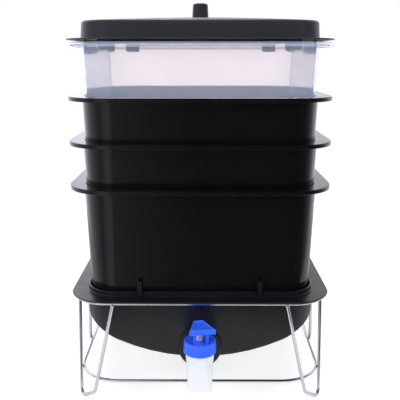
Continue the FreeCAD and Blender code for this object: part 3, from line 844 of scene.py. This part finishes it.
LOWER_TRAY_TOP = 324.6
COLLAR_IN = 170.0 - DRAFT * (LOWER_TRAY_TOP - BIN_TOP) + 2.2
COLLAR_OUT = COLLAR_IN + 3.0


class WORMERY_OT_bin(Operator):
    """Base bin: flange, collar, lugs, trough bottom, tap boss and ribs"""
    bl_idname = "wormery.bin"
    bl_label = "Base bin"

    def execute(self, context):
        boss_r, boss_face, boss_deep, r = 31.75, 170.0, 10.0, 1.4
        lift = node_box("base_bin")[0].z - (BOSS_Z - boss_r)
        verts, faces = skin(bin_face(0.0) + bin_rim() + bin_face(BIN_WALL)[::-1], caps=True)
        shell = moulded("bin_shell", ([(x, y, z + lift) for x, y, z in verts], faces), "bin")

        # boss: a thick disc through the front wall with a soft outer edge
        profile = [(0.0, boss_deep), (31.0, boss_deep), (boss_r, boss_deep - 0.8)]
        profile += arc(boss_r - r, r, r, 0, -90, 4)
        profile += [(25.0, 0.0), (24.5, 0.7), (19.5, 0.7), (19.0, 0.0), (0.0, 0.0)]
        shape = lathe([(h, -along) for h, along in profile], (0.0, -boss_face, BOSS_Z + lift),
                      axis="Y", segments=72)
        boss = moulded("tap_boss", shape, "bin")

        lug_x, lug_y, lug_rise = 86.5, COLLAR_OUT + 1.5, 23.5
        parts = [block(x - 3.5, x + 3.5, y - 2.0, y + 2.0, BIN_TOP - 1.0 + lift,
                       BIN_TOP + lug_rise + lift)
                 for x in (-lug_x, lug_x) for y in (-lug_y, lug_y)]
        lugs = rounded(object_from("bin_lugs", *joined(parts), "bin"), 0.7)
        ribs = rib_pair(BIN_BODY - BIN_WALL, BIN_TOP + lift, 118.0,
                        node_box("lower_tray")[0].z - REST_GAP)
        ribs = turned_four(ribs, "bin_ribs", "bin", bpy.data.node_groups["four_sides"])
        finish_piece(joined_objects([shell, boss, lugs, ribs], "bin_moulding"), "base_bin")
        return {"FINISHED"}


def wire_curve(name, points, bends, cyclic=False):
    """Poly curve through points; each point's radius carries its bend."""
    data = bpy.data.curves.new(name, "CURVE")
    data.dimensions = "3D"
    spline = data.splines.new("POLY")
    spline.points.add(len(points) - 1)
    for slot, p, bend in zip(spline.points, points, bends):
        slot.co = (*place(p), 1.0)
        slot.radius = bend * MM
    spline.use_cyclic_u = cyclic
    return linked(name, data)


class WORMERY_OT_stand(Operator):
    """Chromed wire stand: two hoops, four corner legs, two side hairpins and their welds"""
    bl_idname = "wormery.stand"
    bl_label = "Wire stand"

    def execute(self, context):
        sizes = context.scene.wormery_stand
        hoop_r, leg_r = sizes.hoop_wire, sizes.leg_wire
        tree = wire_tree()

        def wire(node, points, bends, radius, cyclic=False):
            obj = wire_curve(node + "_wire", points, bends, cyclic)
            with_tree(obj, tree, "chrome", {"Wire radius": radius * MM})
            obj = baked(obj, node + "_rod")
            for poly in obj.data.polygons:
                poly.use_smooth = len(poly.vertices) == 4
            finish_piece(obj, node)

        def hoop(node, corner):
            """Half width and level of a hoop, after making it."""
            low, high = node_box(node)
            half = (high.x - low.x) / 2.0 - hoop_r
            z = (low.z + high.z) / 2.0
            # the seam lies in the middle of the back
            points = [(-half, -half, z), (half, -half, z), (half, half, z), (0.0, half, z),
                      (-half, half, z)]
            wire(node, points, [corner, corner, corner, 0.0, corner], hoop_r, cyclic=True)
            return half, z

        upper_corner, lower_corner, weld = 50.0, 62.0, 0.25
        upper, upper_z = hoop("upper_ring", upper_corner)
        lower, lower_z = hoop("lower_ring", lower_corner)
        top = upper_z - hoop_r + weld
        lift = top - 158.7
        centre = lower - lower_corner
        reach = lower_corner + hoop_r + leg_r - weld
        spots = []

        def run(start, contact, level):
            """Where a straight run from start, past the lower hoop's bend, ends at a level."""
            a = math.radians(contact)
            out = Vector((math.cos(a), math.sin(a), 0.0))
            touch = Vector((centre, centre, lower_z)) + reach * out
            end = start + (touch - start) * ((start.z - level - lift) / (start.z - lower_z))
            return end, touch - leg_r * out

        front_top = Vector((upper - 60.0, upper, top))
        side_top = Vector((upper, upper - 71.0, top))
        front_foot, front_weld = run(front_top, 60.6, 20.5)
        side_foot, side_weld = run(side_top, 16.3, -3.32)
        for node, sx, sy in (("leg_front_left", -1, -1), ("leg_front_right", 1, -1),
                             ("leg_back_left", -1, 1), ("leg_back_right", 1, 1)):
            points = [(p.x * sx, p.y * sy, p.z)
                      for p in (front_top, front_foot, side_foot, side_top)]
            wire(node, points, [0.0, 13.0, 9.0, 0.0], leg_r)
            spots += [(p.x * sx, p.y * sy, p.z - drop) for p, drop in (
                (front_top, 1.0), (side_top, 1.0), (front_weld, 0.0), (side_weld, 0.0))]
        x = lower + hoop_r + leg_r - weld
        low_z = node_box("hairpin_left")[0].z + leg_r
        spread, bend = 40.0, 18.0
        for node, side in (("hairpin_left", -1), ("hairpin_right", 1)):
            points = [(side * x, y, z) for y, z in ((-spread, top), (-spread, low_z),
                                                    (spread, low_z), (spread, top))]
            wire(node, points, [0.0, bend, bend, 0.0], leg_r)
            for y in (-spread, spread):
                spots += [(side * x, y, top - 1.0), (side * (x - leg_r), y, lower_z)]
        beads = linked("weld_spots", raw_mesh("weld_spots", [place(s) for s in spots], []))
        with_tree(beads, bead_tree(), "chrome", {"Bead radius": sizes.bead * MM})
        beads = baked(beads, "stand_welds")
        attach(beads, BODY_OF["upper_ring"])
        return {"FINISHED"}


TAP_Y = -202.0
TAP_TURN = math.radians(10.0)
MOUTH_Z = 46.7
PIN_Z = 134.0


def on_tap(shape, lift):
    """A shape made about the cap's axis, turned with the cap and put on the tap."""
    c, s = math.cos(TAP_TURN), math.sin(TAP_TURN)
    return [(x * c - y * s, x * s + y * c + TAP_Y, z + lift) for x, y, z in shape[0]], shape[1]


def tap_barrel(lift):
    """Barrel and spout: round under the cap, nearly square with a flat front at the mouth."""
    def ring(half, corner, z):
        return [(x, y + TAP_Y, z + lift) for x, y, z in
                square_ring(half, half - corner, z, steps=14, flats=4)]

    head = [(16.5, 99.0), (20.0, 99.0), (20.25, 98.6), (19.45, 85.4), (19.2, 84.9)]
    rings = [ring(r, r, z) for r, z in head]
    step_half, step_corner, step_z = 18.6, 17.86, 84.5
    half, corner = 16.75, 3.5
    for share in (1.0, 0.8, 0.6, 0.4, 0.2, 0.03):
        rings.append(ring(half + (step_half - half) * share,
                          corner + (step_corner - corner) * share,
                          MOUTH_Z + (step_z - MOUTH_Z) * share))
    rings += [ring(half - cut, corner - cut, z)
              for cut, z in ((0.1, MOUTH_Z + 0.5), (0.5, MOUTH_Z))]
    bore = [(14.4, MOUTH_Z), (13.95, 47.1), (14.95, 69.0), (9.0, 69.0), (9.0, 72.0), (16.5, 72.0)]
    rings += [ring(r, r, z) for r, z in bore]
    return moulded("tap_barrel", skin(rings + rings[:1]), "milky", crease=50.0)


def tap_inlet(lift):
    """Threaded inlet with its flange, from the barrel back through the boss."""
    back = node_box("tap_body")[1].y - AXIS_Y
    front, seat, flange = TAP_Y + 17.5, -173.0, 4.0
    profile = [(8.0, back), (10.2, back), (10.5, back - 0.4), (10.5, seat), (17.6, seat),
               (18.0, seat - 0.4), (18.0, seat - flange + 0.4), (17.6, seat - flange),
               (11.2, seat - flange), (10.2, seat - flange - 1.0), (10.2, front), (8.0, front)]
    shape = lathe([(r, -y) for r, y in profile], (0.0, 0.0, BOSS_Z + lift), axis="Y", closed=True)
    return moulded("tap_inlet", shape, "milky", crease=50.0)


def cap_body(lift):
    """Cap with fine grip lines and a shallow step round its top."""
    top, round_r, foot_z = 116.0, 2.2, 99.5
    profile = [(16.4, 93.0), (16.4, 99.0), (22.9, 99.0), (23.25, foot_z)]
    for z in (102.6, 105.9, 109.2):
        side = 23.25 - 0.65 * (z - foot_z) / 14.3
        profile += [(side, z - 0.8), (side - 0.5, z - 0.4), (side - 0.5, z + 0.4), (side, z + 0.8)]
    profile += arc(22.6 - round_r, top - round_r, round_r, 0, 90, 5)
    profile += [(18.4, top), (17.9, top - 0.7), (5.2, top - 0.7), (4.6, top - 1.1), (4.6, 113.0),
                (13.4, 113.0), (13.4, 93.0)]
    shape = on_tap(lathe(profile, segments=72, closed=True), lift)
    return moulded("cap_body", shape, "blue", crease=55.0)


def cap_posts(lift):
    """The two posts that hold the lever's pin."""
    thick, axis_y, eye = 4.0, -9.0, 3.0
    outline = [(-eye, 115.0), (eye, 115.0)] + arc(0.0, PIN_Z, eye, 0, 180, 8)
    n = len(outline)
    faces = [tuple(range(n))[::-1], tuple(range(n, 2 * n))]
    faces += [(k, (k + 1) % n, n + (k + 1) % n, n + k) for k in range(n)]
    parts = []
    for x0 in (-10.5, 6.5):
        verts = [(x, axis_y + y, z) for x in (x0, x0 + thick) for y, z in outline]
        parts.append((verts, faces))
    posts = object_from("cap_posts", *on_tap(joined(parts), lift), "blue")
    return rounded(recalc(posts), 0.5, angle=50.0)


def lever_blade(lift):
    """Wedge with a dished top, hollow below."""
    front_half, back_half, front, back = 37.5 / 2.0, 14.6 / 2.0, 22.6, 12.0
    lean = (front_half - back_half) / 35.0
    under, top = 132.0, 139.5

    def ring(side, front_in, back_in, z):
        f, b = front - front_in, back - back_in
        wf = front_half - side - lean * front_in
        wb = back_half - side + lean * back_in
        return [(-wf, -f, z), (wf, -f, z), (wb, b, z), (-wb, b, z)]

    rings = [ring(2.0, 2.0, 2.0, top - 2.3), ring(2.0, 2.0, 2.0, under), ring(0.6, 0.6, 0.6, under),
             ring(0.15, 0.15, 0.15, under + 0.4), ring(0.0, 0.0, 0.0, under + 1.2),
             ring(0.0, 0.0, 0.0, top - 2.2), ring(0.25, 0.3, 0.25, top - 1.1),
             ring(0.9, 1.2, 0.9, top - 0.3), ring(1.8, 2.6, 1.7, top),
             ring(2.7, 5.2, 2.5, top - 0.2), ring(3.6, 6.6, 3.3, top - 1.0),
             ring(4.2, 7.4, 3.9, top - 1.7)]
    blade = object_from("lever_blade", *on_tap(skin(rings, caps=True), lift), "blue")
    return rounded(recalc(blade), 0.4, angle=40.0)


class WORMERY_OT_tap(Operator):
    """Tap: milky barrel, blue cap with posts, lever and valve stem"""
    bl_idname = "wormery.tap"
    bl_label = "Tap"

    def execute(self, context):
        lift = node_box("tap_body")[0].z - MOUTH_Z
        finish_piece(joined_objects([tap_barrel(lift), tap_inlet(lift)], "tap_body_moulding"),
                     "tap_body")
        finish_piece(joined_objects([cap_body(lift), cap_posts(lift)], "tap_cap_moulding"),
                     "tap_cap")

        # the lever's lifter plates: a window between two bars on each side
        lifter_low, window_low, lifter_top = 129.8, 132.0, 137.4
        parts = [block(x0, x0 + 1.6, y0, y1, z0, z1) for x0 in (-6.8, 5.2) for y0, y1, z0, z1 in (
            (-3.6, 5.8, lifter_low, window_low), (-3.6, -2.5, window_low, lifter_top),
            (3.3, 5.8, window_low, lifter_top))]
        plates = object_from("lever_lifters", *on_tap(joined(parts), lift), "blue")
        finish_piece(joined_objects([lever_blade(lift), plates], "tap_lever_moulding"), "tap_lever")

        # stem with its cross bar
        low = node_box("valve_stem")[0].z - lift
        profile = [(0.0, low), (3.0, low), (3.0, low + 4.0), (4.5, low + 4.0), (4.5, 130.2),
                   (4.1, 130.6), (2.8, 130.6), (2.8, 135.5), (2.4, 135.9), (0.0, 135.9)]
        stem = object_from("stem_rod", *on_tap(lathe(profile, segments=32), lift), "milky")
        recalc(stem, 50.0)
        verts, faces = lathe([(0.0, -7.6), (1.2, -7.6), (1.5, -7.3), (1.5, 7.3), (1.2, 7.6),
                              (0.0, 7.6)], segments=20)
        verts = [(z, y, PIN_Z + x) for x, y, z in verts]
        bar = recalc(object_from("stem_bar", *on_tap((verts, faces), lift), "milky"))
        finish_piece(joined_objects([stem, bar], "valve_stem_moulding"), "valve_stem")
        return {"FINISHED"}


SEEN_RAYS = ("Is Camera Ray", "Is Transmission Ray")
# Brightness of the tent by its turn from straight in front, left negative, in degrees
TENT = ((-180, 1.6), (-125, 1.4), (-100, 0.9), (-75, 0.55), (-55, 0.25), (-30, 0.7), (-16, 0.6),
        (-8, 0.22), (-2, 0.07), (30, 0.05), (75, 0.08), (100, 0.35), (125, 1.2), (180, 1.6))
# name, place, level aimed at, width, height (m), watts
LAMPS = (("left_softbox", (-1.5, -1.3, 0.9), 0.3, 0.9, 1.6, 25.0),
         ("right_softbox", (1.5, -1.2, 0.9), 0.3, 0.9, 1.6, 20.0),
         ("top_softbox", (0.0, -0.4, 2.4), 0.3, 1.6, 1.6, 12.0),
         ("back_panel", (0.0, 2.6, 0.9), 0.35, 3.6, 1.9, 20.0))


def seen_directly(tree, path):
    """One where the ray comes from the camera, also through the clear plastic."""
    return add(tree, "ShaderNodeMath", {"operation": "MAXIMUM"},
               {k: path.outputs[kind] for k, kind in enumerate(SEEN_RAYS)}).outputs[0]


def paper_floor():
    """Round white paper, whose edge lies a little in front of the feet."""
    mat, tree, _ = new_material("white_paper_floor")
    path = add(tree, "ShaderNodeLightPath")
    matt = add(tree, "ShaderNodeBsdfDiffuse", {"Color": (0.8, 0.8, 0.8, 1.0)})
    white = add(tree, "ShaderNodeEmission", {"Color": (1.0, 1.0, 1.0, 1.0), "Strength": 0.6})
    both = add(tree, "ShaderNodeAddShader", {}, {0: matt.outputs[0], 1: white.outputs[0]})
    # metal and gloss show the paper too, but greyer, as it is beside the object
    faint = add(tree, "ShaderNodeMath", {"operation": "MULTIPLY", 1: 0.25},
                {0: path.outputs["Is Glossy Ray"]})
    seen = add(tree, "ShaderNodeMath", {"operation": "MAXIMUM"},
               {0: seen_directly(tree, path), 1: faint.outputs[0]})
    pick = add(tree, "ShaderNodeMixShader", {}, {0: seen.outputs[0], 1: matt.outputs[0],
                                                 2: both.outputs[0]})
    add(tree, "ShaderNodeOutputMaterial", {}, {"Surface": pick.outputs[0]})
    radius, back, sides = 0.82, 0.42, 96
    turns = [2.0 * math.pi * k / sides for k in range(sides)]
    rim = [(radius * math.cos(a), back + radius * math.sin(a), 0.0) for a in turns]
    floor = linked("floor", raw_mesh("floor", rim, [tuple(range(sides))]))
    floor.data.materials.append(mat)


def studio_world():
    """Plain white where it is seen; in reflections a white tent, open to a dark room in front."""
    world = bpy.data.worlds.new("studio")
    world.use_nodes = True
    tree = world.node_tree
    tree.nodes.clear()
    path = add(tree, "ShaderNodeLightPath")
    dim = add(tree, "ShaderNodeBackground", {"Color": (0.9, 0.93, 1.0, 1.0), "Strength": 0.42})
    bright = add(tree, "ShaderNodeBackground", {"Color": (1.0, 1.0, 1.0, 1.0), "Strength": 1.0})
    coords = add(tree, "ShaderNodeTexCoord")
    axes = add(tree, "ShaderNodeSeparateXYZ", {}, {0: coords.outputs["Generated"]})
    front = add(tree, "ShaderNodeMath", {"operation": "MULTIPLY", 1: -1.0}, {0: axes.outputs["Y"]})
    turn = add(tree, "ShaderNodeMath", {"operation": "ARCTAN2"},
               {0: axes.outputs["X"], 1: front.outputs[0]})
    share = add(tree, "ShaderNodeMapRange", {"From Min": -math.pi, "From Max": math.pi},
                {"Value": turn.outputs[0]})
    ramp = add(tree, "ShaderNodeValToRGB", {}, {0: share.outputs[0]})
    steps = ramp.color_ramp.elements
    for degrees, level in TENT:
        spot = steps.new((degrees + 180.0) / 360.0)
        spot.color = (level, level * 0.98, level * 1.12, 1.0)
    steps.remove(steps[0])
    steps.remove(steps[-1])
    tent = add(tree, "ShaderNodeBackground", {"Strength": 1.0}, {"Color": ramp.outputs[0]})
    mirror = add(tree, "ShaderNodeMixShader", {}, {0: path.outputs["Is Glossy Ray"],
                                                   1: dim.outputs[0], 2: tent.outputs[0]})
    pick = add(tree, "ShaderNodeMixShader", {}, {0: seen_directly(tree, path), 1: mirror.outputs[0],
                                                 2: bright.outputs[0]})
    add(tree, "ShaderNodeOutputWorld", {}, {"Surface": pick.outputs[0]})
    return world


class WORMERY_OT_stage(Operator):
    """Floor, backdrop, lamps and camera"""
    bl_idname = "wormery.stage"
    bl_label = "Stage"

    def execute(self, context):
        scene = context.scene
        scene.view_settings.view_transform = "Standard"
        paper_floor()
        scene.world = studio_world()
        for name, where, aim, width, height, watts in LAMPS:
            data = bpy.data.lights.new(name, "AREA")
            data.shape = "RECTANGLE"
            data.size = width
            data.size_y = height
            data.energy = watts
            lamp = linked(name, data)
            lamp.location = where
            towards = Vector((0.0, 0.0, aim)) - Vector(where)
            lamp.rotation_euler = towards.to_track_quat("-Z", "Y").to_euler()
            lamp.visible_glossy = False
        cam = bpy.data.cameras.new("photo_camera")
        cam.lens = 55.98
        cam.sensor_width = 36.0
        cam.shift_y = -0.125
        view = linked("photo_camera", cam)
        view.location = (0.00372, (-1023.84 + AXIS_Y) * MM, 0.5081)
        view.rotation_euler = (math.radians(90.0 - 8.574), 0.0, math.radians(0.243))
        scene.camera = view
        return {"FINISHED"}


class WORMERY_PT_panel(Panel):
    """Lists the builder's steps"""
    bl_idname = "WORMERY_PT_panel"
    bl_label = "Wormery"
    bl_space_type = "VIEW_3D"
    bl_region_type = "UI"
    bl_category = "Wormery"

    def draw(self, context):
        for cls in STEPS:
            self.layout.operator(cls.bl_idname)


STEPS = [WORMERY_OT_finishes, WORMERY_OT_trays, WORMERY_OT_clear_tray, WORMERY_OT_lid,
         WORMERY_OT_bin, WORMERY_OT_stand, WORMERY_OT_tap, WORMERY_OT_stage]
GROUPS = {"wormery_trays": TraySizes, "wormery_lid": LidSizes, "wormery_stand": StandSizes,
          "wormery_finishes": Finishes}


def register():
    for cls in list(GROUPS.values()) + STEPS + [WORMERY_PT_panel]:
        bpy.utils.register_class(cls)
    for attr, cls in GROUPS.items():
        setattr(bpy.types.Scene, attr, PointerProperty(type=cls))


def unregister():
    for attr in GROUPS:
        delattr(bpy.types.Scene, attr)
    for cls in [WORMERY_PT_panel] + STEPS[::-1] + list(GROUPS.values()):
        bpy.utils.unregister_class(cls)


def main():
    register()
    for cls in STEPS:
        getattr(bpy.ops.wormery, cls.bl_idname.split(".")[1])()


if __name__ == "__main__":
    main()
